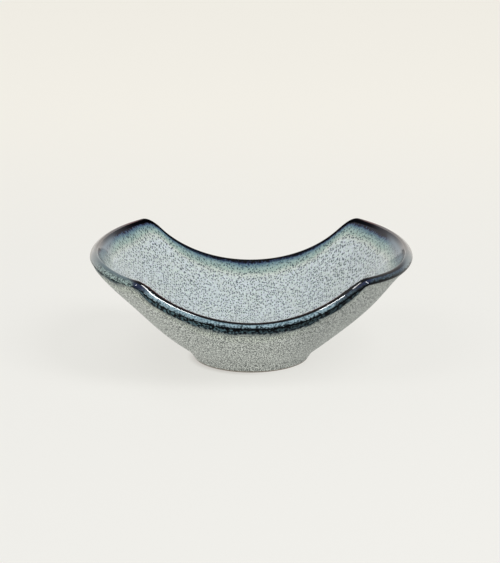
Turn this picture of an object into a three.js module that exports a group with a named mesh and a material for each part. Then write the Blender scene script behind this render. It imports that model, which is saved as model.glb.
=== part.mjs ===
import * as THREE from "three";

// A glazed stoneware bowl with a wavy rim, on a small round foot.
// It is a round, flaring bowl whose rim is dipped at the front and the back by an elliptical trough
// that runs along Y. The two high sides face -X and +X, and four soft corners join them to the dips.
// Millimetres, +Z up, with the origin in the middle of the circle that the foot stands on.

// Finished outside form, glaze included
const RIM_WIDTH = 171.2; // across the two high sides, at the lip's outer edge before it is rounded
const SIDE_RIM_HEIGHT = 57.5; // outer edge of the lip in the middle of a high side
const CORNER_SOFTNESS = 6.7; // height over which side and dip are eased into each other
const WALL_START_ANGLE = 35.7; // degrees, slope of the wall where it leaves the foot

// The two dips, each cut by an ellipse. lowLip is the outer edge of the lip at the bottom of the dip, and
// cornerRise is how much the side's rim would climb on its way round to the middle of the dip.
const BACK_DIP = { lowLip: 34.1, halfWidth: 69.7, depth: 56.4, cornerRise: 3.2 };
const FRONT_DIP = { lowLip: 35.1, halfWidth: 63.3, depth: 43.6, cornerRise: 1.1 };
const CORNER_RISE_POWER = 1.5; // 1 would climb at once, and more starts gentler

// Foot
const FOOT_DIAMETER = 60.2; // at the table
const FOOT_TOP_DIAMETER = 66.8; // where the wall starts
const FOOT_HEIGHT = 5.3;
const FOOT_RING_WIDTH = 5.6; // clay left standing on the table
const FOOT_RING_DRAFT = 1.2; // how much the well under the bowl narrows towards its ceiling
const FOOT_CHAMFER = 0.4;
const BARE_FOOT = 0.5; // height at which the glaze stops above the table

// Walls and lip
const DIP_LIP_THICKNESS = 4.3; // in the middle of a dip, glaze included
const SIDE_LIP_THICKNESS = 5; // in the middle of a high side
const FOOT_WALL_THICKNESS = 6; // the wall just above the foot, glaze included
const FLOOR_THICKNESS = 4.4; // in the middle of the bowl, above the clay ceiling of the well
const FLOOR_BLEND = 8; // how far the flat floor is eased into the wall
const LIP_ROUND_HEIGHT = 1.5; // how far the rounded lip stands above the straight faces of the wall
const LIP_FULLNESS = 0.84; // 1 rounds the lip as half an ellipse, and less fills its two shoulders out

// Glaze
const GLAZE_THICKNESS = 0.6;
const RIM_BAND = 3.4; // how far the broken rim glaze reaches down each face of the wall

// Fineness of the faceted solids
const STEPS_SIDE = 9; // from the middle of a high side to a corner
const STEPS_DIP = 9; // from a corner to the middle of a dip
const STEPS_WALL = 6;
const STEPS_FLOOR = 3;
const STEPS_LIP = 8; // over the rounded lip
const CORNER_CROWDING = 1.6; // above 1 the steps crowd towards the corner
const SOLVER_STEPS = 40;

const sideRadius = RIM_WIDTH / 2;
const footRadius = FOOT_DIAMETER / 2;
const footTopRadius = FOOT_TOP_DIAMETER / 2;
const wallRun = sideRadius - footTopRadius;
const startSlope = Math.tan(THREE.MathUtils.degToRad(WALL_START_ANGLE));
const wallBend = (SIDE_RIM_HEIGHT - FOOT_HEIGHT - startSlope * wallRun) / wallRun ** 2;
const floorTop = FOOT_HEIGHT + FLOOR_THICKNESS;

// The outside wall is a parabola: its slope grows evenly from the foot to the rim.
function wallHeight(radius) {
  const run = radius - footTopRadius;
  return FOOT_HEIGHT + startSlope * run + wallBend * run * run;
}

function wallAngle(radius) {
  return Math.atan(startSlope + 2 * wallBend * (radius - footTopRadius));
}

// A point of the wall at a depth below its finished outer face, square to that face.
function wallPoint(radius, depth) {
  const angle = wallAngle(radius);
  return new THREE.Vector2(
    radius - depth * Math.sin(angle),
    wallHeight(radius) + depth * Math.cos(angle),
  );
}

// The lesser of two lengths, eased over a width where they meet.
function softMin(a, b, width) {
  const near = Math.max(width - Math.abs(a - b), 0) / width;
  return Math.min(a, b) - (near * near * width) / 4;
}

function softMax(a, b, width) {
  return -softMin(-a, -b, width);
}

function dipAt(angle) {
  return Math.sin(angle) < 0 ? FRONT_DIP : BACK_DIP;
}

function troughHeight(angle, radius) {
  const dip = dipAt(angle);
  const share = Math.abs(radius * Math.cos(angle)) / dip.halfWidth;
  if (share >= 1) return Infinity;
  return dip.lowLip + dip.depth * (1 - Math.sqrt(1 - share * share));
}

function sideHeight(angle) {
  const climb = Math.abs(Math.sin(angle)) ** CORNER_RISE_POWER;
  return SIDE_RIM_HEIGHT + dipAt(angle).cornerRise * climb;
}

function lipThickness(angle) {
  return THREE.MathUtils.lerp(DIP_LIP_THICKNESS, SIDE_LIP_THICKNESS, Math.cos(angle) ** 2);
}

function bisect(low, high, isPast) {
  for (let step = 0; step < SOLVER_STEPS; step++) {
    const middle = (low + high) / 2;
    if (isPast(middle)) high = middle;
    else low = middle;
  }
  return (low + high) / 2;
}

// The outer face ends where the wall has climbed to the lower of the two: the side's rim or the trough.
function rimRadius(angle) {
  return bisect(footTopRadius, 2 * sideRadius, (radius) => {
    const rim = softMin(sideHeight(angle), troughHeight(angle, radius), CORNER_SOFTNESS);
    return wallHeight(radius) > rim;
  });
}

// How far round from a high side its rim meets a dip: 1 looks towards the back dip and -1 towards the front.
function cornerAngle(direction) {
  return bisect(0, Math.PI / 2, (turn) => {
    const angle = direction * turn;
    return troughHeight(angle, rimRadius(angle)) < sideHeight(angle);
  });
}

// The angles of one half of the bowl, from one high side to just before the other, crowded at the corners.
function halfAngles(corner) {
  const quarter = [];
  for (let i = 0; i < STEPS_SIDE; i++)
    quarter.push(corner * (1 - (1 - i / STEPS_SIDE) ** CORNER_CROWDING));
  for (let i = STEPS_DIP; i > 0; i--)
    quarter.push(Math.PI / 2 - (Math.PI / 2 - corner) * (1 - (1 - i / STEPS_DIP) ** CORNER_CROWDING));
  const mirrored = quarter.slice(1).reverse().map((angle) => Math.PI - angle);
  return [...quarter, Math.PI / 2, ...mirrored];
}

function sectionAngles() {
  const front = halfAngles(cornerAngle(-1)).map((angle) => angle + Math.PI);
  return [...halfAngles(cornerAngle(1)), ...front];
}

const angles = sectionAngles();

// Everything that a radial section of the wall needs at one angle.
function wallSection(angle) {
  const rim = rimRadius(angle);
  const lipWidth = lipThickness(angle);
  const lipAngle = wallAngle(rim);
  const bandRadius = rim - RIM_BAND * Math.cos(lipAngle);

  function thickness(radius) {
    const share = (radius - footTopRadius) / (bandRadius - footTopRadius);
    return THREE.MathUtils.lerp(FOOT_WALL_THICKNESS, lipWidth, share);
  }

  // A point below the inner face. Past the foot the wall runs straight on and sinks into the flat floor.
  function innerPoint(radius, depth) {
    const along = Math.max(radius, footTopRadius);
    const point = wallPoint(along, thickness(along) - depth);
    const reach = point.x * Math.min(radius / footTopRadius, 1);
    const height = point.y - startSlope * (point.x - reach);
    return new THREE.Vector2(reach, softMax(height, floorTop - depth, FLOOR_BLEND));
  }

  // A point of the lip, by how far it lies up the wall from the rim and in from the outer face.
  function lipPoint(up, inward) {
    return new THREE.Vector2(
      rim + up * Math.cos(lipAngle) - inward * Math.sin(lipAngle),
      wallHeight(rim) + up * Math.sin(lipAngle) + inward * Math.cos(lipAngle),
    );
  }

  // The rounded lip's line from its outer face to its inner face, at a depth below the finished lip.
  function lip(depth) {
    const line = [];
    for (let i = 0; i <= STEPS_LIP; i++) {
      const turn = (i / STEPS_LIP) * Math.PI;
      const climb = Math.max(Math.sin(turn), 0) ** LIP_FULLNESS;
      const sway = Math.sign(Math.cos(turn)) * Math.abs(Math.cos(turn)) ** LIP_FULLNESS;
      line.push(
        lipPoint(
          (LIP_ROUND_HEIGHT - depth) * climb - LIP_ROUND_HEIGHT,
          lipWidth / 2 - (lipWidth / 2 - depth) * sway,
        ),
      );
    }
    return line;
  }

  const wallRadii = [];
  for (let i = 0; i <= STEPS_WALL; i++)
    wallRadii.push(THREE.MathUtils.lerp(footTopRadius, bandRadius, i / STEPS_WALL));
  const floorRadii = [];
  for (let i = 0; i < STEPS_FLOOR; i++) floorRadii.push((footTopRadius * i) / STEPS_FLOOR);

  return {
    outerFace: (depth) => wallRadii.map((radius) => wallPoint(radius, depth)),
    innerFace: (depth) => [...floorRadii, ...wallRadii].map((radius) => innerPoint(radius, depth)),
    lip,
  };
}

// The foot's outer side: a straight taper from the table up to where the wall starts.
function footSide(height, depth) {
  const share = height / FOOT_HEIGHT;
  return new THREE.Vector2(THREE.MathUtils.lerp(footRadius, footTopRadius, share) - depth, height);
}

// The clay of the well under the bowl, which narrows towards its ceiling.
function wellSide(height, depth) {
  const clayRadius = footRadius - GLAZE_THICKNESS - FOOT_RING_WIDTH;
  return new THREE.Vector2(clayRadius - (FOOT_RING_DRAFT * height) / FOOT_HEIGHT - depth, height);
}

// A closed solid through one radial section for each angle. A section is a loop of (radius, height)
// points, counted anticlockwise with the radius to the right, and may touch or follow the axis.
function turnedSolid(sectionAt) {
  const columns = angles.map((angle) => {
    const across = new THREE.Vector3(Math.cos(angle), Math.sin(angle), 0);
    return sectionAt(angle).map((point) => across.clone().multiplyScalar(point.x).setZ(point.y));
  });
  const positions = [];
  const addFacet = (...corners) => {
    const [a, b, c] = corners;
    if (a.equals(b) || b.equals(c) || c.equals(a)) return;
    for (const corner of corners) positions.push(corner.x, corner.y, corner.z);
  };
  columns.forEach((column, turn) => {
    const nextColumn = columns[(turn + 1) % columns.length];
    const isMirrored = Math.floor((4 * turn) / columns.length) % 2 === 1;
    column.forEach((a, step) => {
      const nextStep = (step + 1) % column.length;
      const b = nextColumn[step];
      const c = nextColumn[nextStep];
      const d = column[nextStep];
      // the split starts from the lower edge, so two layers that share these points share it too
      if (a.z < d.z !== isMirrored) {
        addFacet(a, b, c);
        addFacet(a, c, d);
      } else {
        addFacet(a, b, d);
        addFacet(b, c, d);
      }
    });
  });
  const geometry = new THREE.BufferGeometry();
  geometry.setAttribute("position", new THREE.Float32BufferAttribute(positions, 3));
  geometry.computeVertexNormals();
  return geometry;
}

const bareClay = new THREE.MeshStandardMaterial({ color: 0x8a7a68, roughness: 0.85, metalness: 0 });
const paleGlaze = new THREE.MeshStandardMaterial({ color: 0xa9b7bd, roughness: 0.25, metalness: 0 });
const mossGlaze = new THREE.MeshStandardMaterial({ color: 0x9c9f95, roughness: 0.4, metalness: 0 });
const brokenGlaze = new THREE.MeshStandardMaterial({ color: 0x1c2430, roughness: 0.12, metalness: 0 });

function node(name, sectionAt, material) {
  const mesh = new THREE.Mesh(turnedSolid(sectionAt), material);
  mesh.name = name;
  return mesh;
}

// The fired clay: a flat underside that the foot ring joins, the wall, the lip and the floor.
function bowlBodySection(angle) {
  const wall = wallSection(angle);
  return [
    new THREE.Vector2(0, FOOT_HEIGHT),
    wellSide(FOOT_HEIGHT, 0),
    footSide(FOOT_HEIGHT, GLAZE_THICKNESS),
    ...wall.outerFace(GLAZE_THICKNESS),
    ...wall.lip(GLAZE_THICKNESS),
    ...wall.innerFace(GLAZE_THICKNESS).reverse(),
  ];
}

// The clay ring that the bowl stands on, bare at the table.
function footRingSection() {
  return [
    wellSide(0, -FOOT_CHAMFER),
    footSide(0, GLAZE_THICKNESS + FOOT_CHAMFER),
    footSide(FOOT_CHAMFER, GLAZE_THICKNESS),
    footSide(BARE_FOOT, GLAZE_THICKNESS),
    footSide(FOOT_HEIGHT, GLAZE_THICKNESS),
    wellSide(FOOT_HEIGHT, 0),
    wellSide(BARE_FOOT, 0),
    wellSide(FOOT_CHAMFER, 0),
  ];
}

// The coat on the outside, from just above the table to the band at the rim.
function outerGlazeSection(angle) {
  const wall = wallSection(angle);
  return [
    footSide(BARE_FOOT, GLAZE_THICKNESS),
    footSide(BARE_FOOT, 0),
    ...wall.outerFace(0),
    ...wall.outerFace(GLAZE_THICKNESS).reverse(),
    footSide(FOOT_HEIGHT, GLAZE_THICKNESS),
  ];
}

// The dark band that wraps the lip, where the glaze has run thin over the edge.
function rimGlazeSection(angle) {
  const wall = wallSection(angle);
  return [
    wall.outerFace(GLAZE_THICKNESS).at(-1),
    wall.outerFace(0).at(-1),
    ...wall.lip(0),
    wall.innerFace(0).at(-1),
    wall.innerFace(GLAZE_THICKNESS).at(-1),
    ...wall.lip(GLAZE_THICKNESS).reverse(),
  ];
}

// The coat on the inside, one skin over the floor and up to the band at the rim.
function innerGlazeSection(angle) {
  const wall = wallSection(angle);
  return [...wall.innerFace(GLAZE_THICKNESS), ...wall.innerFace(0).reverse()];
}

// The coat in the well under the bowl, on its ceiling and down the inside of the ring.
function wellGlazeSection() {
  return [
    new THREE.Vector2(0, FOOT_HEIGHT - GLAZE_THICKNESS),
    wellSide(FOOT_HEIGHT - GLAZE_THICKNESS, GLAZE_THICKNESS),
    wellSide(BARE_FOOT, GLAZE_THICKNESS),
    wellSide(BARE_FOOT, 0),
    wellSide(FOOT_HEIGHT, 0),
    new THREE.Vector2(0, FOOT_HEIGHT),
  ];
}

const bowl = new THREE.Group();
bowl.add(
  node("bowl_body", bowlBodySection, bareClay),
  node("foot_ring", footRingSection, bareClay),
  node("inner_glaze", innerGlazeSection, paleGlaze),
  node("outer_glaze", outerGlazeSection, mossGlaze),
  node("rim_glaze", rimGlazeSection, brokenGlaze),
  node("foot_well_glaze", wellGlazeSection, mossGlaze),
);

export default bowl;
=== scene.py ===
# %% [markdown]
# # A wavy stoneware bowl
# This notebook dresses a bowl that is already built to size. The real one was thrown round on a wheel,
# its rim was trimmed lower at the front and the back, and it was dipped in a speckled glaze that ran thin
# and dark over the lip. Lengths are in millimetres until a mesh is placed, because a potter thinks in
# them.

import math

import bmesh
import bpy
import mathutils
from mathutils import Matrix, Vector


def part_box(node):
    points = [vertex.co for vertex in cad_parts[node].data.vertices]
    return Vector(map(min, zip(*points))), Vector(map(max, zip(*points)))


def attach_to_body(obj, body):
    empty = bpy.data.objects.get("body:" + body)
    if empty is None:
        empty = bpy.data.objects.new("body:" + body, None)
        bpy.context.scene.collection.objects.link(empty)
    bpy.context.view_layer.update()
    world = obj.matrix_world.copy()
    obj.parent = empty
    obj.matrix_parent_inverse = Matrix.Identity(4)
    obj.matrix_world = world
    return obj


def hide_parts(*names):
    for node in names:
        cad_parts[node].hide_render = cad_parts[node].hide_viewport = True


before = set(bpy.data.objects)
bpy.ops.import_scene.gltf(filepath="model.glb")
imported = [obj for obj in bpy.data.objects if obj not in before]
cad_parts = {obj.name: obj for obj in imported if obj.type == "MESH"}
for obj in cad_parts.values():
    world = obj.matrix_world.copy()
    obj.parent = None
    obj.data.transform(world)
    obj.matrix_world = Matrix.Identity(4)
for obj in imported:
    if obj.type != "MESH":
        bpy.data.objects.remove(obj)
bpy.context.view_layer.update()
MM = 0.001

# %% [markdown]
# ## The camera
# The photograph looks straight at the front and a little down. A long lens from about a metre away keeps
# the near and the far rim almost the same size. The lens is worked out from the number of picture pixels
# that one millimetre covers at the bowl, so the bowl keeps its size in the picture at any distance.

# %% Set up the camera
VIEW_HEIGHT_ANGLE = math.radians(15.7)
VIEW_DISTANCE = 1041.5
AIM = (-0.7, 0, 41.1)
PIXELS_PER_MM = 1.887
PICTURE_HEIGHT = 563
SENSOR = 36


def add_camera():
    data = bpy.data.cameras.new("camera")
    data.sensor_width = SENSOR
    data.lens = PIXELS_PER_MM * VIEW_DISTANCE / PICTURE_HEIGHT * SENSOR
    camera = bpy.data.objects.new("camera", data)
    camera.location = (
        AIM[0] * MM,
        (AIM[1] - VIEW_DISTANCE * math.cos(VIEW_HEIGHT_ANGLE)) * MM,
        (AIM[2] + VIEW_DISTANCE * math.sin(VIEW_HEIGHT_ANGLE)) * MM,
    )
    camera.rotation_euler = (math.pi / 2 - VIEW_HEIGHT_ANGLE, 0, 0)
    bpy.context.scene.collection.objects.link(camera)
    bpy.context.scene.camera = camera
    return data.lens


print("the lens is", round(add_camera(), 1), "mm")

# %% [markdown]
# ## Sums on sockets
# Both geometry trees and materials are graphs of small sums. Wiring each Math node by hand hides the
# formula, so a thin class wraps a socket and lets Python's own operators add the nodes. Every other node
# comes from one method, which takes its type, its settings and what goes into its sockets.

# %% Wrap a node tree
class Tree:
    """A node tree that nodes are added to."""

    def __init__(self, tree):
        self.tree = tree

    def node(self, kind, settings={}, sockets={}):
        made = self.tree.nodes.new(kind)
        for name, value in settings.items():
            if name == "stops":
                self.set_stops(made.color_ramp, value)
            else:
                setattr(made, name, value)
        for key, value in sockets.items():
            self.plug(made.inputs[key], value)
        return made

    def plug(self, socket, value):
        if isinstance(value, Field):
            value = value.socket
        if isinstance(value, bpy.types.NodeSocket):
            self.tree.links.new(value, socket)
        else:
            socket.default_value = value

    def field(self, kind, settings={}, sockets={}, output=0):
        return Field(self, self.node(kind, settings, sockets).outputs[output])

    @staticmethod
    def set_stops(ramp, stops):
        while len(ramp.elements) < len(stops):
            ramp.elements.new(1)
        for element, (position, colour) in zip(ramp.elements, stops):
            element.position = position
            element.color = (*colour, 1)


print("any node can be added")


# %% Wrap a socket
class Field:
    """An output socket that sums are done on."""

    def __init__(self, tree, socket):
        self.tree = tree
        self.socket = socket

    def sum(self, operation, *values):
        sockets = dict(enumerate(values))
        return self.tree.field("ShaderNodeMath", {"operation": operation}, sockets)

    def __add__(self, other):
        return self.sum("ADD", self, other)

    def __radd__(self, other):
        return self.sum("ADD", other, self)

    def __sub__(self, other):
        return self.sum("SUBTRACT", self, other)

    def __rsub__(self, other):
        return self.sum("SUBTRACT", other, self)

    def __mul__(self, other):
        return self.sum("MULTIPLY", self, other)

    def __rmul__(self, other):
        return self.sum("MULTIPLY", other, self)

    def __truediv__(self, other):
        return self.sum("DIVIDE", self, other)

    def __rtruediv__(self, other):
        return self.sum("DIVIDE", other, self)

    def __pow__(self, other):
        return self.sum("POWER", self, other)

    def __lt__(self, other):
        return self.sum("LESS_THAN", self, other)

    def __gt__(self, other):
        return self.sum("GREATER_THAN", self, other)

    def __abs__(self):
        return self.sum("ABSOLUTE", self)


print("sums on sockets add nodes")


# %% Name the sums that have no operator
def root(value):
    return value.sum("SQRT", value)


def cosine(value):
    return value.sum("COSINE", value)


def sine(value):
    return value.sum("SINE", value)


def exponent(value):
    return value.sum("EXPONENT", value)


def least(a, b):
    return a.sum("MINIMUM", a, b)


def most(a, b):
    return a.sum("MAXIMUM", a, b)


def clamp(value):
    return least(most(value, 0), 1)


def blend(a, b, share):
    """The number a where share is 0, b where it is 1, and in between along a straight line."""
    return a + (b - a) * share


def soft_min(a, b, width):
    """The lower of two, eased into each other where they are less than a width apart."""
    near = most(width - abs(a - b), 0) / width
    return least(a, b) - near * near * width / 4


def soft_max(a, b, width):
    near = most(width - abs(a - b), 0) / width
    return most(a, b) + near * near * width / 4


print("roots, limits and blends are ready")

# %% [markdown]
# ## The rule of the wall
# The outside wall is a parabola turned round an axis. The rim stops it where it has climbed to the lower
# of two heights: a level ring, which makes the high sides, or an elliptical trough that runs from front
# to back, which makes the two dips. A form with such a rule is best written as Geometry Nodes: one grid
# of points, with the turn along one side and the section along the other, is bent into the wall, and
# every layer of clay and glaze is the same grid with other settings.

# %% Set the sizes of the wall
FOOT_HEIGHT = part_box("foot_ring")[1].z / MM
GLAZE = 0.6
FOOT_RADIUS = 30.1
WALL_SIZES = {
    "Side rim radius": 85.6,
    "Side rim height": 57.5,
    "Front corner rise": 1.0,
    "Back corner rise": 2.4,
    "Corner rise power": 1.2,
    "Front low lip height": 35.05,
    "Back low lip height": 34.05,
    "Front dip half width": 63.3,
    "Back dip half width": 69.7,
    "Front dip depth": 43.6,
    "Back dip depth": 56.4,
    "Front dip shift": -0.1,
    "Back dip shift": 0.4,
    "Corner softness": 6.7,
    "Wall start slope": math.tan(math.radians(35.7)),
    "Foot radius": FOOT_RADIUS,
    "Foot top radius": 33.4,
    "Foot height": FOOT_HEIGHT,
    "Bare foot": 0.5,
    "Wall at foot": 6.0,
    "Dip lip thickness": 4.3,
    "Side lip thickness": 5.0,
    "Lip fullness": 0.84,
    "Lip edge radius": 1.5,
    "Floor height": FOOT_HEIGHT + 4.4,
    "Floor blend": 8.0,
    "Rim band": 3.4,
    "Foot fillet": 3.0,
    "Left shoulder fullness": 0.8,
    "Right shoulder fullness": -0.35,
    "Wall lean": 0.75,
    "Left corner sag": 1.9,
    "Right corner sag": 1.45,
}
LAYER_SETTINGS = {"From": 0.0, "To": 5.0, "Front depth": 0.0, "Back depth": 0.0, "Core": 0.0}
LAYER_COUNTS = {"Turns": 480, "Front rows": 60, "Back rows": 12}
RIM_STEPS = 30
print("glaze", round(GLAZE, 2), "mm over clay, foot", round(FOOT_HEIGHT, 2), "mm high")


# %% Write the parabola
class Wall:
    """The outside wall, from the top of the foot up to the rim."""

    def __init__(self, size):
        self.slope = size["Wall start slope"]
        self.foot_top = size["Foot top radius"]
        self.foot_height = size["Foot height"]
        run = size["Side rim radius"] - self.foot_top
        self.bend = (size["Side rim height"] - self.foot_height - self.slope * run) / (run * run)

    def height(self, radius):
        run = radius - self.foot_top
        return self.foot_height + self.slope * run + self.bend * run * run

    def radius(self, height):
        climbed = self.slope * self.slope + 4 * self.bend * (height - self.foot_height)
        return self.foot_top + (root(climbed) - self.slope) / (2 * self.bend)

    def steepness(self, radius):
        return self.slope + 2 * self.bend * (radius - self.foot_top)

    def point(self, radius, under):
        """The radius and the height of a point that lies so far under the outside face."""
        steep = self.steepness(radius)
        length = root(1 + steep * steep)
        return radius - under * steep / length, self.height(radius) + under / length

    def distance(self, start, end):
        """From one radius to another along the wall, taken as a straight line."""
        return root((start - end) ** 2 + (self.height(start) - self.height(end)) ** 2)


print("the wall is a parabola")


# %% Find the rim
class Rim:
    """Where the wall stops at each turn, and where the lip's rounding and the dark band start below it."""

    def __init__(self, tree, size, wall, angle):
        self.radius = self.climb(tree, size, wall, angle)
        self.slope = wall.steepness(self.radius)
        self.length = root(1 + self.slope * self.slope)
        self.lip_start = self.radius - size["Lip edge radius"] / self.length
        self.band_start = self.radius - size["Rim band"] / self.length
        sideways = cosine(angle) * cosine(angle)
        self.lip_width = blend(size["Dip lip thickness"], size["Side lip thickness"], sideways)

    @staticmethod
    def climb(tree, size, wall, angle):
        """Climbs the wall to the rim: each pass puts the last radius back into the rim's height."""
        start = tree.node("GeometryNodeRepeatInput")
        end = tree.node("GeometryNodeRepeatOutput")
        start.pair_with_output(end)
        end.repeat_items.clear()
        end.repeat_items.new("FLOAT", "Radius")
        tree.plug(start.inputs["Iterations"], RIM_STEPS)
        tree.plug(start.inputs["Radius"], size["Side rim radius"])
        radius = Field(tree, start.outputs["Radius"])
        is_behind = clamp(sine(angle) + 0.5)

        def of_dip(name):
            return blend(size["Front " + name], size["Back " + name], is_behind)

        share = (radius * cosine(angle) + of_dip("dip shift")) / of_dip("dip half width")
        trough = of_dip("low lip height") + of_dip("dip depth") * (1 - root(most(1 - share * share, 0)))
        rise = of_dip("corner rise") * abs(sine(angle)) ** size["Corner rise power"]
        height = soft_min(size["Side rim height"] + rise, trough, size["Corner softness"])
        tree.plug(end.inputs["Radius"], wall.radius(height))
        return Field(tree, end.outputs["Radius"])


print("the rim is found in", RIM_STEPS, "steps")

# %% [markdown]
# ## The section
# Cut through from the axis outwards, the bowl shows its section: the side of the foot, the wall, the
# outer half of the dark band, the rounded lip, the inner half of the band, and the rest of the inside
# down to the middle of the floor. A number from -1 to 5 says how far along these six stretches a row
# lies. Three formulas cover them, outside, lip and inside. The glaze filled the corner between foot and
# wall, so the first fills it.

# %% Draw the section's stretches
FILLET_FULLNESS = 0.09
FILLET_OUT = 0.8
FILLET_DOWN = 0.6
FOOT_SIDE_STRETCH = 1.2


def outside_stretch(size, wall, rim, section, depth):
    """Radius, height and distance below the lip, from the bare foot up to the lip."""
    on_wall = wall.foot_top + (rim.band_start - wall.foot_top) * clamp(section)
    on_wall = on_wall + (rim.lip_start - rim.band_start) * clamp(section - 1)
    radius, height = wall.point(on_wall, depth)
    side_height = blend(size["Bare foot"], size["Foot height"], clamp(section + 1))
    flare = size["Foot top radius"] - size["Foot radius"]
    side_radius = size["Foot radius"] + flare * side_height / size["Foot height"] - depth
    is_side = section < 0
    to_wall = size["Foot height"] - side_height
    from_kink = blend(on_wall - wall.foot_top, to_wall, is_side)
    near_kink = most(1 - from_kink / size["Foot fillet"], 0)
    fill = FILLET_FULLNESS * size["Foot fillet"] * near_kink * near_kink
    radius = blend(radius, side_radius, is_side) + fill * FILLET_OUT
    height = blend(height, side_height, is_side) - fill * FILLET_DOWN
    return radius, height, wall.distance(rim.lip_start, on_wall) + is_side * to_wall * FOOT_SIDE_STRETCH


def lip_stretch(size, wall, rim, lip_share, depth):
    """Half of a full ellipse across the wall."""
    half = rim.lip_width / 2
    climb = most(sine(lip_share * math.pi), 0) ** size["Lip fullness"]
    sway = cosine(lip_share * math.pi)
    sway = sway * abs(sway) ** (size["Lip fullness"] - 1)
    up = (size["Lip edge radius"] - depth) * climb - size["Lip edge radius"]
    inward = half - (half - depth) * sway
    radius = rim.radius + (up - inward * rim.slope) / rim.length
    return radius, wall.height(rim.radius) + (up * rim.slope + inward) / rim.length, 0


def inside_stretch(size, wall, rim, section, depth):
    """From the lip down the thickening wall to the middle of the flat floor."""
    inner = rim.lip_start + (rim.band_start - rim.lip_start) * clamp(section - 3)
    inner = inner - rim.band_start * clamp(section - 4)
    on_wall = most(inner, wall.foot_top)
    wall_share = clamp((on_wall - wall.foot_top) / (rim.band_start - wall.foot_top))
    thickness = blend(size["Wall at foot"], rim.lip_width, wall_share)
    wall_radius, wall_height = wall.point(on_wall, thickness - depth)
    radius = wall_radius * least(inner / wall.foot_top, 1)
    above_floor = wall_height - wall.slope * (wall_radius - radius)
    height = soft_max(above_floor, size["Floor height"] - depth, size["Floor blend"])
    return radius, height, wall.distance(rim.lip_start, inner)


print("the section has its stretches")

# %% [markdown]
# ## The marks of the hand and the kiln
# No thrown bowl is true. This one wobbles slightly, its wall is fuller on the left and leans a little,
# and both front corners sank in the kiln. Each mark is a small smooth term that is added to the rule, and
# each fades out towards the foot, which stood firm. Modelling them by hand would lose them whenever a
# size changes.

# %% Leave the marks
SAGS = {"Left corner sag": (223, 22), "Right corner sag": (333, 21)}  # direction and spread, in degrees
WOBBLE = 0.1
WOBBLE_SCALE = 1.6
WOBBLE_RISE = 60
SHOULDER_GAIN = 9.5
LEAN_PEAK = 0.88
LEAN_WAVE = 8.7
FOOT_FADE = 8
LIP_FADE = 12


def leave_marks(tree, size, angle, radius, height):
    """Moves a point as the hand and the kiln did."""
    sideways = cosine(angle) * cosine(angle)
    lift = height / size["Side rim height"]
    lift = most(lift * lift, 0)
    climbed = (height - size["Foot height"]) / (size["Side rim height"] - size["Foot height"])
    climbed = clamp(climbed)
    to_lip = least((1 - climbed) * LIP_FADE, 1)

    turned = {0: cosine(angle), 1: sine(angle), 2: height / WOBBLE_RISE}
    turned = tree.field("ShaderNodeCombineXYZ", {}, turned)
    noise_sockets = {"Vector": turned, "Scale": WOBBLE_SCALE, "Detail": 1.0}
    wobble = tree.field("ShaderNodeTexNoise", {"noise_dimensions": "3D"}, noise_sockets)

    shoulder = climbed * climbed * climbed * (1 - climbed) * SHOULDER_GAIN * sideways * to_lip
    is_left = cosine(angle) < 0
    fullness = blend(size["Right shoulder fullness"], size["Left shoulder fullness"], is_left)
    lean = cosine((climbed - LEAN_PEAK) * LEAN_WAVE) * least(climbed * FOOT_FADE, 1) * to_lip
    lean = lean * cosine(angle) * abs(cosine(angle)) * size["Wall lean"]
    swell = shoulder * fullness - lean + (wobble - 1) * (2 * WOBBLE) * lift
    radius = radius * (1 + swell / size["Side rim radius"])

    for name, (direction, spread) in SAGS.items():
        nearness = cosine(angle - math.radians(direction)) - 1
        height = height - size[name] * exponent(nearness * (2 / math.radians(spread) ** 2)) * lift
    return radius, height


print("the kiln sank", len(SAGS), "corners")

# %% [markdown]
# ## The tree of the wall
# The tree starts from a flat grid. Its rows run up the front of a layer, turn, and run back down its back
# face, so each layer closes on itself. Two attributes go with every point for the glazes to read: how far
# it lies below the lip, and how far across the lip.

# %% Build the tree
MERGE_DISTANCE = 0.002


def add_inputs(group, kind, values):
    for name, value in values.items():
        socket = group.interface.new_socket(name, in_out="INPUT", socket_type=kind)
        socket.default_value = value


def lay_grid(tree, size):
    """The grid, and for each point its turn, its place along the section and whether it is on the back face."""
    rows = size["Front rows"] + size["Back rows"] + 2
    counts = {"Vertices X": size["Turns"] + 1, "Vertices Y": rows + 1}
    grid = tree.node("GeometryNodeMeshGrid", {}, {"Size X": 1.0, "Size Y": 1.0, **counts})
    place = tree.node("ShaderNodeSeparateXYZ", {}, {0: tree.field("GeometryNodeInputPosition")})
    angle = (Field(tree, place.outputs["X"]) + 0.5) * math.tau
    row = (Field(tree, place.outputs["Y"]) + 0.5) * rows
    past_front = row - size["Front rows"]
    past_back = past_front - 1 - size["Back rows"]
    is_back = clamp(past_front) - clamp(past_back)
    along = clamp(row / size["Front rows"]) - clamp((past_front - 1) / size["Back rows"])
    return grid.outputs["Mesh"], angle, blend(size["From"], size["To"], along), is_back


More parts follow.
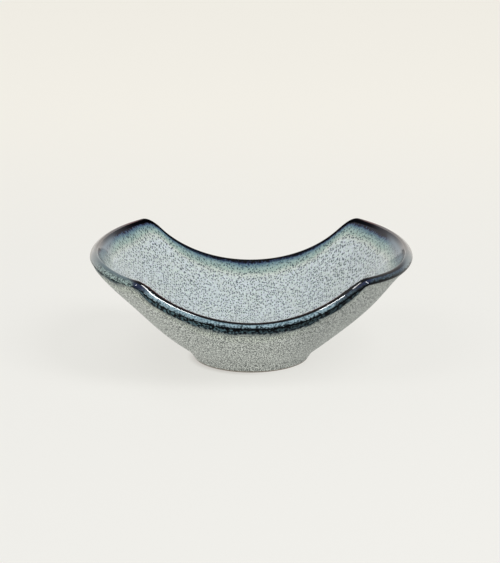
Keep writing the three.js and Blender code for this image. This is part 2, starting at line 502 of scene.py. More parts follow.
def finish_tree(tree, size, mesh, attributes, place):
    """Stores the attributes, moves the points into place, closes the seams and sets the finish."""
    for name, value in attributes.items():
        kind = {"data_type": "FLOAT", "domain": "POINT"}
        stored = {"Geometry": mesh, "Name": name, "Value": value}
        mesh = tree.node("GeometryNodeStoreNamedAttribute", kind, stored).outputs[0]
    placed = tree.node("GeometryNodeSetPosition", {}, {"Geometry": mesh, "Position": place})
    sockets = {"Geometry": placed.outputs[0], "Distance": MERGE_DISTANCE * MM}
    merged = tree.node("GeometryNodeMergeByDistance", {}, sockets)
    smooth = tree.node("GeometryNodeSetShadeSmooth", {}, {"Geometry": merged.outputs[0]})
    real = tree.node("GeometryNodeRealizeInstances", {}, {"Geometry": smooth.outputs[0]})
    sockets = {"Geometry": real.outputs[0], "Material": size["Material"]}
    finished = tree.node("GeometryNodeSetMaterial", {}, sockets)
    tree.node("NodeGroupOutput", {}, {"Geometry": finished.outputs[0]})


def build_wall_tree():
    group = bpy.data.node_groups.new("turned_wall", "GeometryNodeTree")
    add_inputs(group, "NodeSocketFloat", WALL_SIZES)
    add_inputs(group, "NodeSocketFloat", LAYER_SETTINGS)
    add_inputs(group, "NodeSocketInt", LAYER_COUNTS)
    add_inputs(group, "NodeSocketMaterial", {"Material": None})
    group.interface.new_socket("Geometry", in_out="OUTPUT", socket_type="NodeSocketGeometry")
    tree = Tree(group)
    inputs = tree.node("NodeGroupInput")
    size = {socket.name: Field(tree, socket) for socket in inputs.outputs if socket.name}

    mesh, angle, section, is_back = lay_grid(tree, size)
    depth = blend(size["Front depth"], size["Back depth"], is_back)
    wall = Wall(size)
    rim = Rim(tree, size, wall, angle)
    lip_share = clamp(section - 2)

    # each later stretch takes over where it starts
    radius, height, below_lip = outside_stretch(size, wall, rim, section, depth)
    lip = lip_stretch(size, wall, rim, lip_share, depth)
    inside = inside_stretch(size, wall, rim, section, depth)
    for start, later in ((2, lip), (3, inside)):
        is_later = section > start
        radius = blend(radius, later[0], is_later)
        height = blend(height, later[1], is_later)
        below_lip = blend(below_lip, later[2], is_later)

    # the clay body closes flat underneath
    is_core = is_back * size["Core"]
    radius = radius * (1 - is_core)
    height = blend(height, size["Foot height"], is_core)

    radius, height = leave_marks(tree, size, angle, radius, height)
    bent = {0: radius * cosine(angle) * MM, 1: radius * sine(angle) * MM, 2: height * MM}
    place = tree.field("ShaderNodeCombineXYZ", {}, bent)
    finish_tree(tree, size, mesh, {"below_lip": below_lip, "across_lip": lip_share}, place)
    return group


wall_tree = build_wall_tree()
print("the wall's tree has", len(wall_tree.nodes), "nodes")

# %% [markdown]
# ## Tools for the glazes
# All the glaze on the bowl is one liquid. Thick, it is pale blue-grey and full of dark specks. Over the
# lip it runs thin, and goes through moss and teal to navy and almost black, with brown where it is
# thinnest. So its colours follow how far a point lies below the lip. A painted image would need
# unwrapping and would end at a pixel, but noise on the object's own coordinates has neither trouble. It
# is drawn in towards the axis as the wall climbs, which stretches its specks down the slope, the way the
# glaze ran.

# %% Name the colours
PALE = (0.68, 0.75, 0.765)
PALE_WARM = (0.66, 0.72, 0.66)
PALE_GREEN = (0.62, 0.74, 0.66)
PALE_LILAC = (0.70, 0.74, 0.86)
SLATE = (0.03, 0.05, 0.07)
MOSS = (0.40, 0.52, 0.47)
SEA_GREEN = (0.36, 0.49, 0.47)
TEAL = (0.16, 0.27, 0.31)
SLATE_BLUE = (0.06, 0.10, 0.17)
NAVY = (0.018, 0.026, 0.06)
BLACK = (0.003, 0.0035, 0.005)
BROWN_AND_REFLECTION = (0.10, 0.036, 0.02)
UMBER = (0.17, 0.155, 0.158)
PLUM_REFLECTION = (0.19, 0.115, 0.115)
TIP_SLATE = (0.045, 0.055, 0.07)
TIP_TAUPE = (0.225, 0.205, 0.192)
TIP_BLUE = (0.20, 0.235, 0.245)
TIP_PALE = (0.47, 0.53, 0.51)
TIP_GREY = (0.20, 0.25, 0.29)
CORNER_NAVY = (0.008, 0.007, 0.014)
LIP_BLUE = (0.10, 0.17, 0.21)
LIP_PALE = (0.30, 0.42, 0.48)
LIP_DARK = (0.03, 0.05, 0.055)
LIP_FOAM = (0.36, 0.48, 0.46)
LIP_GREY = (0.10, 0.15, 0.17)
LIP_NIGHT = (0.06, 0.10, 0.13)
RUN_TEAL = (0.04, 0.07, 0.085)
OUTER_INK = (0.02, 0.03, 0.042)
OUTER_TEAL = (0.06, 0.08, 0.088)
OUTER_MOSS = (0.32, 0.37, 0.34)
OUTER_WARM = (0.62, 0.68, 0.60)
OUTER_LIGHT = (0.67, 0.71, 0.675)
OUTER_PAINTED_SHADE = (0.42, 0.45, 0.435)
OUTER_DARK = (0.07, 0.085, 0.08)
THIN_EDGE_AND_CONTACT_SHADE = (0.22, 0.18, 0.14)
CLAY_DARK = (0.10, 0.07, 0.05)
CLAY_LIGHT = (0.26, 0.20, 0.15)
print("the glazes and the clay have their colours")


# %% Make the patterns
SPECK_EDGE = (0.38, 0.22)
CHANCE_BLUR = 0.05


def new_material(name):
    material = bpy.data.materials.new(name)
    material.use_nodes = True
    material.node_tree.nodes.clear()
    return material, Tree(material.node_tree)


def smooth_step(tree, value, low, high):
    """A mask that is 0 at low and 1 at high. Low may be the larger of the two, and the mask then falls."""
    return tree.field(
        "ShaderNodeMapRange",
        {"interpolation_type": "SMOOTHSTEP"},
        {"Value": value, "From Min": low, "From Max": high},
    )


def noise(tree, at, grain, detail=1.0, roughness=0.5):
    """Noise whose grains measure about so many millimetres."""
    sockets = {"Vector": at, "Scale": 1 / grain, "Detail": detail, "Roughness": roughness}
    return tree.field("ShaderNodeTexNoise", {}, sockets)


def blots(tree, at, grain, low, high, detail=1.0, roughness=0.5):
    """Noise that is cut to blots: 0 where it is under low, and 1 where it is over high."""
    return smooth_step(tree, noise(tree, at, grain, detail, roughness), low, high)


def swing(tree, at, grain, width, detail=1.0, roughness=0.5):
    """Noise that swings about 0, over a width in millimetres."""
    return (noise(tree, at, grain, detail, roughness) - 0.5) * width


def dots(tree, at, spacing, share):
    """Small round specks on an uneven grid of so many millimetres, in that share of its cells."""
    sockets = {"Vector": at, "Scale": 1 / spacing}
    cells = tree.node("ShaderNodeTexVoronoi", {"voronoi_dimensions": "2D"}, sockets)
    chance = tree.node("ShaderNodeSeparateColor", {}, {0: cells.outputs["Color"]}).outputs["Red"]
    centre = smooth_step(tree, cells.outputs["Distance"], *SPECK_EDGE)
    return centre * smooth_step(tree, chance, 1 - share, 1 + CHANCE_BLUR - share)


def mix(tree, a, b, share):
    """The colour a where share is 0, and b where it is 1."""
    a, b = (colour if isinstance(colour, Field) else (*colour, 1) for colour in (a, b))
    return tree.field("ShaderNodeMix", {"data_type": "RGBA"}, {0: share, 6: a, 7: b}, 2)


def colour_depths(tree, below, stops):
    """Colours that follow each other down the wall, each at its number of millimetres below the lip."""
    reach = stops[-1][0]
    ramp = [(depth / reach, colour) for depth, colour in stops]
    return tree.field("ShaderNodeValToRGB", {"stops": ramp}, {0: clamp(below / reach)})


print("noise, blots and specks are ready")

# %% [markdown]
# ## Where a point lies
# The finishes ask the same questions: is this the front or the right, high or low, and does the lip still
# have its hard black edges here? It has them in the dips, and on the right they run on round the front
# corner. One class answers in masks from 0 to 1. A mask's two numbers are the millimetres between which
# it changes.

# %% Ask where a point lies
DRAW_IN = 0.25
EDGES_END = 62
RIGHT_EDGES_RUN_ON = 18
FRONT_EDGES_STOP_SHORT = 2


class Place:
    """Where a point of the surface lies, in millimetres, and on which part of the rim."""

    def __init__(self, tree):
        place = tree.field("ShaderNodeTexCoord", {}, {}, "Object")
        scale = {0: place, "Scale": 1 / MM}
        self.at = tree.field("ShaderNodeVectorMath", {"operation": "SCALE"}, scale)
        parts = tree.node("ShaderNodeSeparateXYZ", {}, {0: self.at})
        self.x, self.y, self.z = (Field(tree, parts.outputs[i]) for i in range(3))
        radius = root(self.x * self.x + self.y * self.y)
        share = (radius - DRAW_IN * self.z) / most(radius, 1)
        drawn = {0: self.x * share, 1: self.y * share, 2: least(self.z, FOOT_HEIGHT)}
        self.flow = tree.field("ShaderNodeCombineXYZ", {}, drawn)
        self.below = self.read(tree, "below_lip")
        self.across = self.read(tree, "across_lip")
        self.is_right = smooth_step(tree, self.x, -20, 20)
        self.is_front = smooth_step(tree, self.y, 12, -12)
        edges_end = self.is_right * RIGHT_EDGES_RUN_ON - FRONT_EDGES_STOP_SHORT
        edges_end = EDGES_END + self.is_front * edges_end
        self.is_edged = smooth_step(tree, abs(self.x) - edges_end, 4, -4)
        self.is_high = smooth_step(tree, self.z, 45, 58)

    @staticmethod
    def read(tree, name):
        return tree.field("ShaderNodeAttribute", {"attribute_name": name}, {}, "Fac")


print("the specks are drawn in by", DRAW_IN, "mm for each mm of height")

# %% [markdown]
# ## The glaze inside
# Under the lip it is navy, then teal and sea green, and from about 10 mm down it is the pale ground. Its
# lines wander, because the depth that the colours follow is moved by two noises, a fine one and a broad
# one. At the two tips the glaze is greyer and shows less of this, so a second set of colours takes over
# there.

# %% Mix the inside
INSIDE_RUN = [
    (0.0, BLACK),
    (0.3, BLACK),
    (1.0, NAVY),
    (1.7, SLATE_BLUE),
    (3.0, TEAL),
    (5.0, SEA_GREEN),
    (7.0, MOSS),
    (10.0, PALE_WARM),
    (14.0, PALE),
]
HIGH_RUN = 1.2
CORNER_RUN = 0.8
LEFT_TIP_SHARE = 0.8
CLOUD_SHARE = 0.4
TINT_SHARE = 0.35
FINE_SHARE = 0.6
INNER_GRAIN = 0.25
TIP_FADE = 0.15


def mix_tip_inside(tree, place):
    at_edge = smooth_step(tree, abs(place.x), 77, 83)
    tip = mix(tree, TIP_SLATE, TIP_TAUPE, at_edge)
    tip = mix(tree, tip, TIP_GREY, smooth_step(tree, place.below, 0.5, 3.5))
    pale_share = smooth_step(tree, place.below, 4, 9.5) * blend(LEFT_TIP_SHARE, 1, place.is_right)
    return mix(tree, tip, TIP_PALE, pale_share)


def mix_inside(tree, place):
    """The inside's colour, and its specks. The dark runs further on the high sides and in the corners."""
    x = abs(place.x)
    in_corner = smooth_step(tree, x, 54, 72)
    wander = swing(tree, place.flow, 0.9, 5, 2.0) + swing(tree, place.at, 16, 4)
    below = place.below + wander - place.is_high * HIGH_RUN - in_corner * CORNER_RUN
    ground = colour_depths(tree, below, INSIDE_RUN)
    ground = mix(tree, ground, CORNER_NAVY, in_corner * smooth_step(tree, below, 1.4, 0.2))
    ground = mix(tree, ground, mix_tip_inside(tree, place), smooth_step(tree, x, 72.5, 77))

    is_pale = smooth_step(tree, below, 8, 14)
    cloud = blots(tree, place.at, 13, 0.42, 0.62)
    ground = mix(tree, ground, PALE_WARM, cloud * CLOUD_SHARE * is_pale)
    tint = mix(tree, PALE_GREEN, PALE_LILAC, blots(tree, place.flow, 0.9, 0.4, 0.6))
    ground = mix(tree, ground, tint, TINT_SHARE * is_pale)

    coarse = dots(tree, place.flow, 0.9, 0.7)
    fine = dots(tree, place.flow, 0.6, 0.4) * FINE_SHARE
    grain = blots(tree, place.flow, 0.45, 0.38, 0.62) * INNER_GRAIN
    specks = most(most(coarse, fine), grain) * (1 - TIP_FADE * smooth_step(tree, x, 60, 76))
    return mix(tree, ground, SLATE, specks * smooth_step(tree, below, 1.5, 4.0)), specks


print("the inside is pale from", INSIDE_RUN[-1][0], "mm down")

# %% [markdown]
# ## The glaze outside
# The black of the lip runs a few millimetres down the outside in ragged tongues. They grow longer from
# the middle of the dip towards its corners, most of all on the left, and are gone on the high sides.
# Below, the glaze is light, cut by a maze of fine darker lines, and a painted shade darkens it on the
# right. At the very bottom it is thin and brown over the clay, with a painted contact shadow. The black
# part is dry, because a shiny black would mirror the bright table, and the rest is satin. So colour and
# gloss follow one ragged depth.

# %% Mix the outside
OUTSIDE_RUN = [
    (0.0, BLACK),
    (2.4, BLACK),
    (3.6, OUTER_INK),
    (5.2, OUTER_TEAL),
    (7.2, OUTER_MOSS),
    (9.6, OUTER_WARM),
    (16.0, OUTER_LIGHT),
]
OUTSIDE_GLOSS = 0.48
DRY_GLOSS = 0.95
PAINTED_SHADE_SHARE = 0.7
GRAIN_SHARE = 0.95
MIDDLE_RUN_SHORTENS = 1.7
RUN_LENGTHENS = 0.05
LEFT_RUN_LENGTHENS = 0.035
HIGH_RUN_SHORTENS = 9
LEFT_TEAL = 0.9
RIGHT_TEAL = 0.4


def outer_depth(tree, place):
    """How deep a point of the outside lies in the ragged run, which ends at about 7 mm."""
    ragged = swing(tree, place.flow, 1.1, 6.5, 2.0, 0.6) + swing(tree, place.at, 14, 6, 2.0)
    is_thin = smooth_step(tree, abs(place.x), 50, 60)
    depth = place.below + ragged + MIDDLE_RUN_SHORTENS - abs(place.x) * RUN_LENGTHENS
    return depth + least(place.x, 0) * LEFT_RUN_LENGTHENS + is_thin * HIGH_RUN_SHORTENS


def mix_outside(tree, place, below):
    """The outside's colour, and its grain."""
    ground = colour_depths(tree, below, OUTSIDE_RUN)
    # painted shade: the right side of the outside is darkened, standing in for the light it lacks there
    on_right = smooth_step(tree, place.x, 8, 34)
    shade = PAINTED_SHADE_SHARE * on_right * smooth_step(tree, below, 5, 10)
    ground = mix(tree, ground, OUTER_PAINTED_SHADE, shade)
    grain = blots(tree, place.flow, 0.54, 0.46, 0.54, 1.0, 0.6)
    ground = mix(tree, ground, OUTER_DARK, grain * GRAIN_SHARE * smooth_step(tree, below, 5, 8))
    teal = blots(tree, place.flow, 1.1, 0.46, 0.58, 2.0) * smooth_step(tree, below, 6, 4)
    ground = mix(tree, ground, TEAL, teal * blend(LEFT_TEAL, RIGHT_TEAL, place.is_right))
    # at the very bottom the glaze is thin and brown over the clay, and also darkened as a painted contact
    # shadow
    return mix(tree, ground, THIN_EDGE_AND_CONTACT_SHADE, smooth_step(tree, place.z, 1.6, 0.6)), grain


def mix_outside_sheen(tree, below):
    """Roughness and metal lustre: the black run is dry and mirrors little, and the rest is satin."""
    is_black = smooth_step(tree, below, 6.2, 4.4)
    return blend(OUTSIDE_GLOSS, DRY_GLOSS, is_black), is_black


print("the outside has its own colour from", OUTSIDE_RUN[-1][0], "mm down")

# %% [markdown]
# ## The glaze on the lip
# In the dips the glaze pooled on the lip: it is pale and blotched there, with a black line at each edge
# and a brown one where it is thinnest, with a painted reflection mixed into it at the front. Beyond the
# corners the lip turns plum and taupe, the plum behind being a painted reflection of the warm
# surroundings, and on the left it is covered in light flecks at the front. Each colour is laid over the
# last with a mask of its own, as a painter would glaze.

# %% Mix the lip
FRONT_CORNER = 55
EDGE_RAGGED = 0.8
EDGE_DRIFT = 0.3
RIGHT_EDGE_WIDENS = 0.18
HIGH_EDGE = 0.11
DIP_EDGE = 0.34
EDGE_NARROWS_TO = 44
LEFT_EDGE_NARROWS = 0.0045
RIGHT_EDGE_NARROWS = 0.003


def mix_high_lip(tree, place, left, right):
    """The lip beyond the dips: flecked at the front, a painted plum reflection behind, umber and taupe towards
    the tips.
    """
    x = abs(place.x)
    # painted reflection: the plum on the back high lip stands in for the warm surroundings mirrored there
    plum_reflection_share = smooth_step(tree, x, 53, 62) * smooth_step(tree, place.across, 1.0, 0.9)
    back = mix(tree, BLACK, PLUM_REFLECTION, plum_reflection_share)
    high = mix(tree, back, mix(tree, left, right, place.is_right), place.is_front)
    at_front_corner = smooth_step(tree, abs(x - FRONT_CORNER), 6, 3) * place.is_front
    high = mix(tree, high, NAVY, at_front_corner)
    umber_share = smooth_step(tree, x, 66, 73) * smooth_step(tree, place.y, -12, 4)
    high = mix(tree, high, UMBER, umber_share)
    tip = mix(tree, TIP_BLUE, TIP_TAUPE, smooth_step(tree, place.y, -25, 5))
    return mix(tree, high, tip, smooth_step(tree, x, 75, 82))


def mix_lip(tree, place):
    """The lip's colour, and its blotches."""
    x, across = place.x, place.across
    blotches = noise(tree, place.at, 0.9, 2.0, 0.6)
    flecks = blots(tree, place.at, 0.85, 0.44, 0.58, 2.0, 0.6)
    left = mix(tree, LIP_DARK, LIP_FOAM, flecks)
    left = mix(tree, left, LIP_GREY, smooth_step(tree, across, 0.45, 0.6))
    right = mix(tree, NAVY, LIP_NIGHT, smooth_step(tree, blotches, 0.45, 0.6))
    pale = mix(tree, LIP_BLUE, LIP_PALE, smooth_step(tree, blotches, 0.40, 0.56))
    pale = mix(tree, pale, right, smooth_step(tree, x, 38, 48))
    face = mix(tree, mix_high_lip(tree, place, left, right), pale, smooth_step(tree, place.z, 56, 51))

    # the black outer edge, ragged and speckled with teal
    ragged = (blotches - 0.5) * EDGE_RAGGED + swing(tree, place.at, 9, EDGE_DRIFT)
    from_outer = across + ragged - smooth_step(tree, x, 36, 48) * RIGHT_EDGE_WIDENS
    narrows = blend(LEFT_EDGE_NARROWS, RIGHT_EDGE_NARROWS, place.is_right)
    dip_edge = DIP_EDGE - least(abs(x), EDGE_NARROWS_TO) * narrows
    outer_edge = blend(HIGH_EDGE, dip_edge, place.is_edged)
    outer_run = mix(tree, BLACK, RUN_TEAL, flecks * smooth_step(tree, across, 0.14, 0.34))
    face = mix(tree, outer_run, face, smooth_step(tree, from_outer - outer_edge, -0.08, 0.08))

    # the black inner edge, and the brown line where the front lip turns inwards: thin glaze with a painted
    # reflection mixed in
    face = mix(tree, face, BLACK, smooth_step(tree, across, 0.49, 0.55) * place.is_edged)
    # partly painted reflection: the brown at the front crest stands in partly for the warm surroundings
    # mirrored there
    brown_line_and_reflection = smooth_step(tree, across, 0.72, 0.80) * place.is_edged * place.is_front
    brown_line_and_reflection = brown_line_and_reflection * smooth_step(tree, x, 52, 36)
    return mix(tree, face, BROWN_AND_REFLECTION, brown_line_and_reflection), blotches


print("the lip's black edge is", DIP_EDGE, "of its width in the dips")

# %% [markdown]
# ## The finishes
# A finish is a colour, a roughness and a fine bump on the standard shader. The band over the lip belongs
# to three stretches, so its finish mixes all three and picks by how far across the lip a point lies. A
# black that should stay black is made metal, since a metal mirrors only in its own colour.

# %% Make the five finishes
INSIDE_GLOSS = 0.06
LIP_GLOSS = 0.08
CLAY_GLOSS = 0.8
GLAZE_IOR = 1.5
SPECK_DEPTH = 0.02
LIP_BUMP = 0.002
WELL_BUMP = 0.03
GRIT_DEPTH = 0.08
WORM_SHARPNESS = 9
LIP_BEGINS = 0.001
LIP_ENDS = 0.999
DARK_BACK_REACH = 57
DARK_BACK_RUN_ON = 12


def finish_surface(tree, colour, gloss, height, depth, metal=0.0):
    sockets = {"Strength": 1.0, "Distance": depth * MM, "Height": height}
    bump = tree.field("ShaderNodeBump", {}, sockets)
    look = {"Base Color": colour, "Roughness": gloss, "Metallic": metal, "Normal": bump, "IOR": GLAZE_IOR}
    shader = tree.node("ShaderNodeBsdfPrincipled", {}, look)
    tree.node("ShaderNodeOutputMaterial", {}, {"Surface": shader.outputs[0]})


def pale_glaze():
    material, tree = new_material("pale_glaze")
    colour, specks = mix_inside(tree, Place(tree))
    finish_surface(tree, colour, INSIDE_GLOSS, specks, SPECK_DEPTH)
    return material


def moss_glaze():
    material, tree = new_material("moss_glaze")
    place = Place(tree)
    depth = outer_depth(tree, place)
    colour, grain = mix_outside(tree, place, depth)
    gloss, metal = mix_outside_sheen(tree, depth)
    finish_surface(tree, colour, gloss, grain, SPECK_DEPTH, metal)
    return material


def find_dark_back(tree, place):
    """The black line that hangs inside the far lip, from corner to corner."""
    x = abs(place.x)
    reach = DARK_BACK_REACH + DARK_BACK_RUN_ON * smooth_step(tree, place.across, 0.9, 1.0)
    dark_back = smooth_step(tree, x, -20, 50) * smooth_step(tree, x - reach, 4, -4)
    return dark_back * (1 - place.is_front) * smooth_step(tree, place.below, 3.2, 1.6)


def rim_glaze():
    """Wet and shiny on the lip and inside it, satin outside, and metal where it is black."""
    material, tree = new_material("rim_glaze")
    place = Place(tree)
    depth = outer_depth(tree, place)
    inside = mix_inside(tree, place)[0]
    outside = mix_outside(tree, place, depth)[0]
    lip, blotches = mix_lip(tree, place)
    is_inside = place.across > LIP_ENDS
    colour = mix(tree, mix(tree, lip, inside, is_inside), outside, place.across < LIP_BEGINS)
    gloss, metal = mix_outside_sheen(tree, depth)
    gloss = blend(gloss, LIP_GLOSS, smooth_step(tree, place.across, 0.08, 0.2))
    gloss = gloss + is_inside * (INSIDE_GLOSS - LIP_GLOSS) * smooth_step(tree, place.below, 0, 3)
    metal = blend(metal, 1, smooth_step(tree, place.across, 0.0, 0.1))
    outer_edge = smooth_step(tree, place.across, 0.38, 0.2)
    metal = metal * most(outer_edge, find_dark_back(tree, place))
    finish_surface(tree, colour, gloss, blotches, LIP_BUMP, metal)
    return material


def well_glaze():
    material, tree = new_material("well_glaze")
    worms = clamp(abs(noise(tree, Place(tree).at, 0.9) - 0.5) * WORM_SHARPNESS)
    colour = mix(tree, OUTER_LIGHT, OUTER_DARK, worms * GRAIN_SHARE)
    finish_surface(tree, colour, OUTSIDE_GLOSS, worms, WELL_BUMP)
    return material


def bare_clay():
    material, tree = new_material("bare_clay")
    grit = noise(tree, Place(tree).at, 0.5, 3.0, 0.7)
    colour = mix(tree, CLAY_DARK, CLAY_LIGHT, smooth_step(tree, grit, 0.4, 0.6))
    finish_surface(tree, colour, CLAY_GLOSS, grit, GRIT_DEPTH)
    return material


finishes = {make.__name__: make() for make in (pale_glaze, moss_glaze, rim_glaze, well_glaze, bare_clay)}
print("finishes:", ", ".join(finishes))

# %% [markdown]
# ## The layers of the wall
# The clay body is the whole section from the foot over the lip to the floor, a glaze's thickness under
# the finished face and closed flat underneath. Each glaze is a thin closed skin over its own stretch of
# the section.

# %% Turn the clay body and the three glaze skins of the wall
SKIN = {"Back depth": GLAZE}
LAYERS = {
    "clay_body": ("bowl_body", "bare_clay", "stoneware", {"Front depth": GLAZE, "Core": 1.0}),
    "outer_glaze_skin": ("outer_glaze", "moss_glaze", "moss_glaze", {"From": -1.0, "To": 1.0, **SKIN}),
    "rim_glaze_skin": ("rim_glaze", "rim_glaze", "rim_glaze", {"From": 1.0, "To": 4.0, **SKIN}),
    "inner_glaze_skin": ("inner_glaze", "pale_glaze", "pale_glaze", {"From": 4.0, "To": 5.0, **SKIN}),
}
SHARP_ANGLE = math.radians(50)


def evaluate_tree(name, group, values):
    """Runs a tree on an empty mesh and keeps the result as a plain mesh."""
    maker = bpy.data.objects.new(name, bpy.data.meshes.new(name))
    bpy.context.scene.collection.objects.link(maker)
    modifier = maker.modifiers.new("tree", "NODES")
    modifier.node_group = group
    for item in group.interface.items_tree:  # inputs are set by identifier, before anything is evaluated
        if item.in_out == "INPUT":
            modifier[item.identifier] = values[item.name]
    graph = bpy.context.evaluated_depsgraph_get()
    graph.update()
    mesh = bpy.data.meshes.new_from_object(maker.evaluated_get(graph), depsgraph=graph)
    maker.modifiers.remove(modifier)
    maker.data = mesh
    mesh.name = name
    return maker


def attach(piece, node):
    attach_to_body(piece, "root")
    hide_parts(node)


for name, (node, finish, slot, changes) in LAYERS.items():
    values = {**WALL_SIZES, **LAYER_COUNTS, **LAYER_SETTINGS, **changes, "Material": finishes[finish]}
    piece = evaluate_tree(name, wall_tree, values)
    piece.data.set_sharp_from_angle(angle=SHARP_ANGLE)
    attach(piece, node)
    print(name, len(piece.data.polygons), "faces,", [round(side / MM, 2) for side in piece.dimensions], "mm")

# %% [markdown]
# ## The foot
# The bowl stands on a turned ring. Its bare edge is softened all round, and its hollow is glazed. Both
# are simple turned forms, so a closed outline is spun round the axis in mesh code.

# %% Draw the outlines of the foot
FOOT_TOP_RADIUS = WALL_SIZES["Foot top radius"]
BARE_FOOT = WALL_SIZES["Bare foot"]
RING_WIDTH = 5.6
WELL_DRAFT = 1.2
EDGE_ROUND = 0.45
ROUND_STEPS = 5
WELL_CORNER = [(1.5, 0.0), (0.4, 0.3), (0.0, 1.3)]  # each point's distance in from the wall and down


def side_radius(height):
    return FOOT_RADIUS + (FOOT_TOP_RADIUS - FOOT_RADIUS) * height / FOOT_HEIGHT - GLAZE


def well_radius(height, depth=0.0):
    return FOOT_RADIUS - GLAZE - RING_WIDTH - WELL_DRAFT * height / FOOT_HEIGHT - depth


def quarter_round(centre_radius, centre_height, start):
    """Points of a quarter circle, from an angle in quarter turns."""
    points = []
    for step in range(ROUND_STEPS + 1):
        turn = (start + step / ROUND_STEPS) * math.pi / 2
        radius = centre_radius + EDGE_ROUND * math.cos(turn)
        points.append((radius, centre_height + EDGE_ROUND * math.sin(turn)))
    return points


ring_outline = [
    *quarter_round(well_radius(0) + EDGE_ROUND, EDGE_ROUND, 2),
    *quarter_round(side_radius(0) - EDGE_ROUND, EDGE_ROUND, 3),
    (side_radius(BARE_FOOT), BARE_FOOT),
    (side_radius(FOOT_HEIGHT), FOOT_HEIGHT),
    (well_radius(FOOT_HEIGHT), FOOT_HEIGHT),
    (well_radius(BARE_FOOT), BARE_FOOT),
]
well_outline = [
    (0, FOOT_HEIGHT - GLAZE),
    *((well_radius(FOOT_HEIGHT, GLAZE) - inward, FOOT_HEIGHT - GLAZE - down) for inward, down in WELL_CORNER),
    (well_radius(BARE_FOOT, GLAZE), BARE_FOOT),
    (well_radius(BARE_FOOT), BARE_FOOT),
    (well_radius(FOOT_HEIGHT), FOOT_HEIGHT),
    (0, FOOT_HEIGHT),
]
print("foot ring from", round(well_radius(0), 1), "to", round(side_radius(0), 1), "mm radius")

# %% Spin the foot ring and the glaze in its well
SPIN_STEPS = 360
DOUBLES_DISTANCE = 0.001


def spin(name, outline, finish):
    """Turns a closed outline of radius and height round the axis."""
    mesh = bpy.data.meshes.new(name)
    shape = bmesh.new()
    loops = []
    for step in range(SPIN_STEPS):
        turn = step / SPIN_STEPS * math.tau
        points = [(r * math.cos(turn) * MM, r * math.sin(turn) * MM, z * MM) for r, z in outline]
        loops.append([shape.verts.new(point) for point in points])
    for here, there in zip(loops, loops[1:] + loops[:1]):
        for i in range(len(outline)):
            j = (i + 1) % len(outline)
            shape.faces.new((here[i], there[i], there[j], here[j]))
    bmesh.ops.remove_doubles(shape, verts=shape.verts, dist=DOUBLES_DISTANCE * MM)
    bmesh.ops.recalc_face_normals(shape, faces=shape.faces)
    for face in shape.faces:
        face.smooth = True
    shape.to_mesh(mesh)
    shape.free()
    mesh.set_sharp_from_angle(angle=SHARP_ANGLE)
    mesh.materials.append(finishes[finish])
    piece = bpy.data.objects.new(name, mesh)
    bpy.context.scene.collection.objects.link(piece)
    return piece


attach(spin("turned_foot_ring", ring_outline, "bare_clay"), "foot_ring")
attach(spin("well_glaze_skin", well_outline, "well_glaze"), "foot_well_glaze")
print("the foot is turned in", SPIN_STEPS, "steps")

# %% [markdown]
# ## The table
# The bowl stands on a lit opal table, as small ceramics often do in a studio: the light from below leaves
# only a faint shadow and keeps the underside of the wall bright. The table's own glow hides most of the
# shadow, so a painted shadow dims the glow a little close to the foot and on the left.

# %% Add the table
TABLE_SIZE = 8.0
TABLE_GLOSS = 0.9
TABLE_COLOUR = (0.14, 0.139, 0.135)
TABLE_GLOW = (0.692, 0.685, 0.652)
FAR_TABLE_GLOW = (0.772, 0.748, 0.682)
SHADED_GLOW = (0.40, 0.38, 0.35)
CONTACT_SHADE = 0.5
LEFT_SHADE = 0.14


def add_table():
    mesh = bpy.data.meshes.new("table")
    corners = [(x * TABLE_SIZE, y * TABLE_SIZE, 0) for x, y in ((-1, -1), (1, -1), (1, 1), (-1, 1))]
    mesh.from_pydata(corners, [], [(0, 1, 2, 3)])
    table = bpy.data.objects.new("table", mesh)
    bpy.context.scene.collection.objects.link(table)
    material, tree = new_material("lit_opal_table")
    place = Place(tree)
    from_foot = root(place.x * place.x + place.y * place.y) - FOOT_RADIUS
    # painted shadow: the glow is dimmed towards the shaded colour beside the foot and broadly on the left
    contact = smooth_step(tree, from_foot, 5, 0) * smooth_step(tree, place.x, 20, -20) * CONTACT_SHADE
    left = smooth_step(tree, from_foot, 75, 10) * smooth_step(tree, place.x, 0, -50) * LEFT_SHADE
    glow = mix(tree, TABLE_GLOW, FAR_TABLE_GLOW, smooth_step(tree, place.y, 0, 800))
    glow = mix(tree, mix(tree, glow, SHADED_GLOW, contact), SHADED_GLOW, left)
    look = {"Base Color": (*TABLE_COLOUR, 1), "Roughness": TABLE_GLOSS}
    look.update({"Emission Color": glow, "Emission Strength": 1.0})
    shader = tree.node("ShaderNodeBsdfPrincipled", {}, look)
    tree.node("ShaderNodeOutputMaterial", {}, {"Surface": shader.outputs[0]})
    mesh.materials.append(material)


add_table()
print("the table is", 2 * TABLE_SIZE, "m wide")

# %% [markdown]
# ## The light
# Two broad soft lamps light the clay and the glaze. A shiny lip shows lamps as bright lines, so narrow
# strips, which only glossy surfaces see, draw the lines along the near lip. The surroundings are bright
# round the horizon, which the steep side lips mirror, and dimmer overhead.

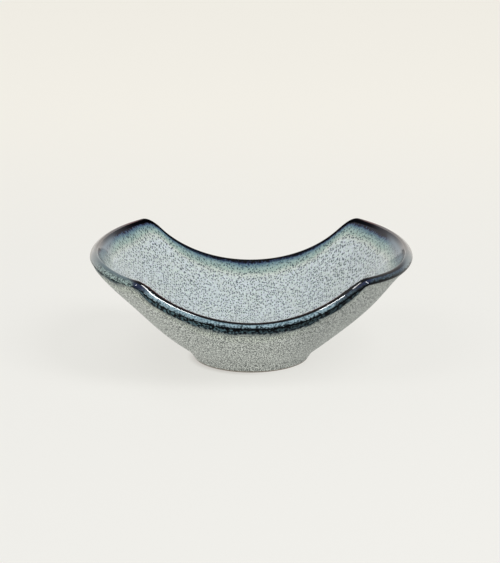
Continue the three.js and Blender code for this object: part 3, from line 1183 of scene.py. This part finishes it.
# %% Add the lamps and the surroundings
LAMP_HEIGHT = 1.0
LAMPS = {  # near end, far end and width in metres, brightness, and whether it is a glint
    "right_lamp": ((0.3, -0.5), (0.9, -0.5), 0.6, 9, False),
    "left_lamp": ((-0.9, -0.5), (-0.3, -0.5), 0.6, 3, False),
    "right_strip": ((0.25, -0.34), (1.13, -0.81), 0.12, 32, True),
    "left_strip": ((-0.38, -0.41), (-0.95, -0.72), 0.09, 34, True),
}
SKY_COLOUR = (1.0, 0.985, 0.955)
OVERHEAD = 0.22
HORIZON = 0.68
FROM_LEFT = 0.19
FROM_BEHIND = 0.25


def add_lamp(name, near, far, width, brightness, is_glint):
    """A soft box above the line from near to far, as bright as a white sheet that many times.

    A glint shows only in shiny surfaces, and any other lamp only lights matt ones.
    """
    data = bpy.data.lights.new(name, "AREA")
    data.shape = "RECTANGLE"
    run = math.dist(near, far)
    data.size = run
    data.size_y = width
    data.energy = brightness * math.pi * run * width
    lamp = bpy.data.objects.new(name, data)
    lamp.visible_diffuse = not is_glint
    lamp.visible_glossy = is_glint
    lamp.location = ((near[0] + far[0]) / 2, (near[1] + far[1]) / 2, LAMP_HEIGHT)
    away = lamp.location.normalized()
    along = mathutils.Vector((far[0] - near[0], far[1] - near[1], 0))
    along = (along - along.dot(away) * away).normalized()
    across = away.cross(along)
    lamp.rotation_euler = mathutils.Matrix((along, across, away)).transposed().to_euler()
    bpy.context.scene.collection.objects.link(lamp)


def light_surroundings():
    world = bpy.data.worlds.new("studio")
    world.use_nodes = True
    world.node_tree.nodes.clear()
    tree = Tree(world.node_tree)
    direction = tree.field("ShaderNodeTexCoord", {}, {}, "Generated")
    towards = tree.node("ShaderNodeSeparateXYZ", {}, {0: direction})
    x, y, z = (Field(tree, towards.outputs[i]) for i in range(3))
    level = 1 - abs(z)
    light = OVERHEAD + level * level * HORIZON - x * FROM_LEFT + most(y, 0) * level * FROM_BEHIND
    back = tree.node("ShaderNodeBackground", {}, {"Color": (*SKY_COLOUR, 1), "Strength": light})
    tree.node("ShaderNodeOutputWorld", {}, {"Surface": back.outputs[0]})
    bpy.context.scene.world = world


for name, settings in LAMPS.items():
    add_lamp(name, *settings)
light_surroundings()
bpy.context.scene.view_settings.view_transform = "Standard"
print("lamps:", ", ".join(LAMPS))
